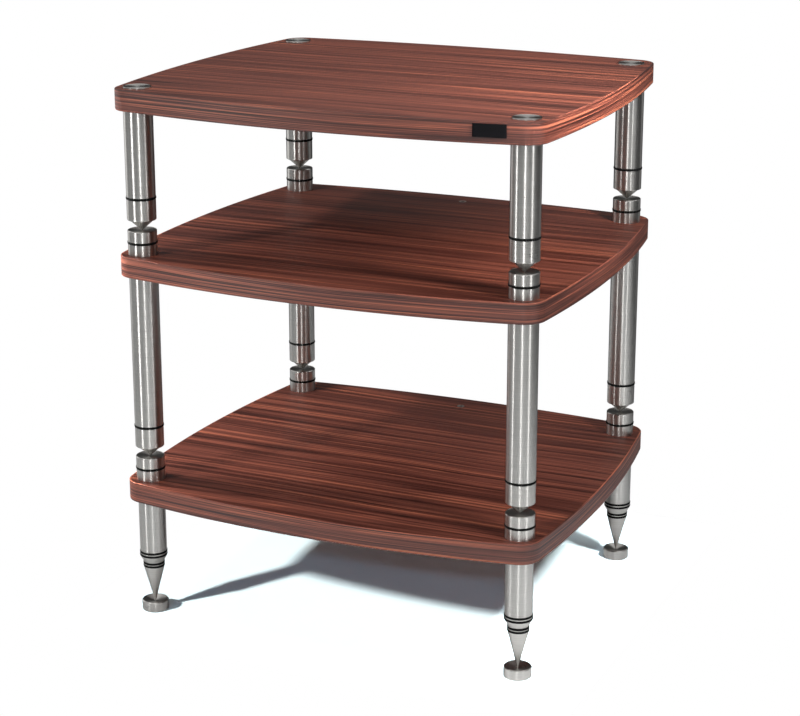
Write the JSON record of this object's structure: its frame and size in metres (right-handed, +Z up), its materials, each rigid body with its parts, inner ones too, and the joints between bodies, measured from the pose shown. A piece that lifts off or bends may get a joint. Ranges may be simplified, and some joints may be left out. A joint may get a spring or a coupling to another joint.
{
  "type": "audio equipment rack",
  "caption": "Audio equipment rack: bowed wooden shelves on round steel tube legs, stacked on cone spikes in dished seats, with screw-out floor spikes standing on loose foot discs.",
  "frame": {"origin": "on the floor, under the middle of the shelves", "axes": "+Z up; +X to the right seen from the front; the front faces -Y"},
  "size_m": [0.67, 0.6, 0.799],
  "materials": {
    "shelf_veneer": "satin dark rosewood veneer, straight grain from left to right",
    "edge_veneer": "satin rosewood edge band, grain along the edge",
    "satin_steel": "finely turned and brushed stainless steel",
    "black_rubber": "matte black rubber ring",
    "black_plate": "blank black plate",
    "insert_steel": "small turned steel insert"
  },
  "bodies": {
    "bottom_tier": {"bottom_shelf": "shelf_veneer", "bottom_shelf_edge_band": "edge_veneer", "bottom_shelf_insert": "insert_steel", "bottom_seat_front_left": "satin_steel", "bottom_seat_front_right": "satin_steel", "bottom_seat_rear_left": "satin_steel", "bottom_seat_rear_right": "satin_steel", "bottom_leg_front_left": "satin_steel", "bottom_leg_front_right": "satin_steel", "bottom_leg_rear_left": "satin_steel", "bottom_leg_rear_right": "satin_steel"},
    "middle_tier": {"middle_shelf": "shelf_veneer", "middle_shelf_edge_band": "edge_veneer", "middle_shelf_insert": "insert_steel", "middle_seat_front_left": "satin_steel", "middle_seat_front_right": "satin_steel", "middle_seat_rear_left": "satin_steel", "middle_seat_rear_right": "satin_steel", "middle_tube_front_left": "satin_steel", "middle_tube_front_right": "satin_steel", "middle_tube_rear_left": "satin_steel", "middle_tube_rear_right": "satin_steel", "middle_spike_ring_front_left": "black_rubber", "middle_spike_ring_front_right": "black_rubber", "middle_spike_ring_rear_left": "black_rubber", "middle_spike_ring_rear_right": "black_rubber", "middle_spike_front_left": "satin_steel", "middle_spike_front_right": "satin_steel", "middle_spike_rear_left": "satin_steel", "middle_spike_rear_right": "satin_steel"},
    "top_tier": {"top_shelf": "shelf_veneer", "top_shelf_edge_band": "edge_veneer", "badge_plate": "black_plate", "cap_front_left": "satin_steel", "cap_front_right": "satin_steel", "cap_rear_left": "satin_steel", "cap_rear_right": "satin_steel", "top_tube_front_left": "satin_steel", "top_tube_front_right": "satin_steel", "top_tube_rear_left": "satin_steel", "top_tube_rear_right": "satin_steel", "top_spike_ring_front_left": "black_rubber", "top_spike_ring_front_right": "black_rubber", "top_spike_ring_rear_left": "black_rubber", "top_spike_ring_rear_right": "black_rubber", "top_spike_front_left": "satin_steel", "top_spike_front_right": "satin_steel", "top_spike_rear_left": "satin_steel", "top_spike_rear_right": "satin_steel"},
    "levelling_spike_front_left": {"floor_spike_front_left": "satin_steel"},
    "levelling_spike_front_right": {"floor_spike_front_right": "satin_steel"},
    "levelling_spike_rear_left": {"floor_spike_rear_left": "satin_steel"},
    "levelling_spike_rear_right": {"floor_spike_rear_right": "satin_steel"},
    "foot_front_left": {"foot_disc_front_left": "satin_steel"},
    "foot_front_right": {"foot_disc_front_right": "satin_steel"},
    "foot_rear_left": {"foot_disc_rear_left": "satin_steel"},
    "foot_rear_right": {"foot_disc_rear_right": "satin_steel"}
  },
  "joints": [
    {"name": "middle_tier_lift", "type": "slide", "parent": "bottom_tier", "child": "middle_tier", "axis": [0, 0, 1], "range_m": [0, 0.1]},
    {"name": "top_tier_lift", "type": "slide", "parent": "middle_tier", "child": "top_tier", "axis": [0, 0, 1], "range_m": [0, 0.1]},
    {"name": "spike_screw_front_left", "type": "slide", "parent": "bottom_tier", "child": "levelling_spike_front_left", "axis": [0, 0, -1], "range_m": [0, 0.008]},
    {"name": "spike_screw_front_right", "type": "slide", "parent": "bottom_tier", "child": "levelling_spike_front_right", "axis": [0, 0, -1], "range_m": [0, 0.008]},
    {"name": "spike_screw_rear_left", "type": "slide", "parent": "bottom_tier", "child": "levelling_spike_rear_left", "axis": [0, 0, -1], "range_m": [0, 0.008]},
    {"name": "spike_screw_rear_right", "type": "slide", "parent": "bottom_tier", "child": "levelling_spike_rear_right", "axis": [0, 0, -1], "range_m": [0, 0.008]},
    {"name": "foot_disc_drop_front_left", "type": "slide", "parent": "levelling_spike_front_left", "child": "foot_front_left", "axis": [0, 0, -1], "range_m": [0, 0.02]},
    {"name": "foot_disc_drop_front_right", "type": "slide", "parent": "levelling_spike_front_right", "child": "foot_front_right", "axis": [0, 0, -1], "range_m": [0, 0.02]},
    {"name": "foot_disc_drop_rear_left", "type": "slide", "parent": "levelling_spike_rear_left", "child": "foot_rear_left", "axis": [0, 0, -1], "range_m": [0, 0.02]},
    {"name": "foot_disc_drop_rear_right", "type": "slide", "parent": "levelling_spike_rear_right", "child": "foot_rear_right", "axis": [0, 0, -1], "range_m": [0, 0.02]}
  ]
}
